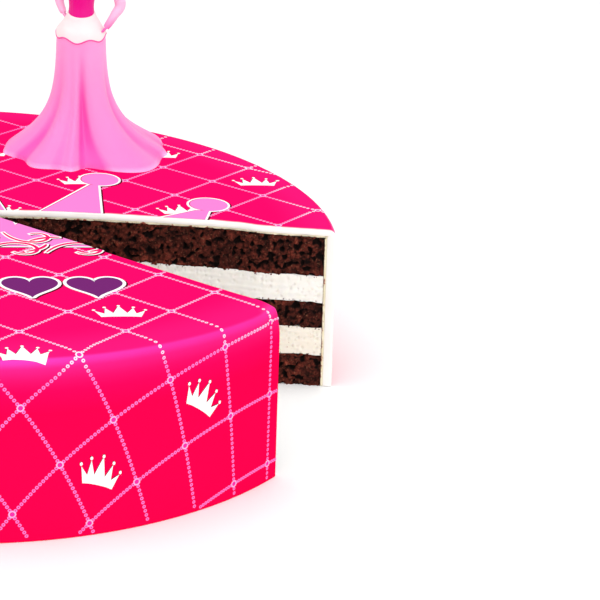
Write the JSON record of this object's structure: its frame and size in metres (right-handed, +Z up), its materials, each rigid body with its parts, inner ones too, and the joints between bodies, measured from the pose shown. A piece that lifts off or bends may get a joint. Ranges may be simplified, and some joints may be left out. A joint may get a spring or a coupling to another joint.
{
  "type": "princess birthday cake",
  "caption": "Round layer cake in printed pink rolled icing, with a wedge cut out, dark sponge and white cream layers showing, and a small princess figure on top.",
  "frame": {"origin": "middle of the cake's underside", "axes": "+Z up; the printed motifs on the top read upright seen from -Y, and the figure faces roughly -Y"},
  "size_m": [0.28, 0.28, 0.1608],
  "materials": {
    "icing": "rolled icing, smooth with a soft sheen",
    "buttercream": "soft butter cream",
    "cream": "whipped cream, smooth where cut",
    "sponge": "crumbly dark sponge",
    "gown": "satin vinyl",
    "sash": "satin vinyl",
    "bodice": "satin vinyl",
    "skin": "satin vinyl",
    "hair": "satin vinyl",
    "tiara": "gold-coloured plastic"
  },
  "bodies": {
    "root": {"sponge_bottom": "sponge", "cream_lower": "cream", "sponge_middle": "sponge", "cream_upper": "cream", "sponge_top": "sponge", "butter_coat": "buttercream", "icing": "icing", "figure_gown": "gown", "figure_sash": "sash", "figure_bodice": "bodice", "figure_arm_left": "gown", "figure_arm_right": "gown", "figure_head": "skin", "figure_hair": "hair", "figure_tiara": "tiara"}
  },
  "joints": []
}
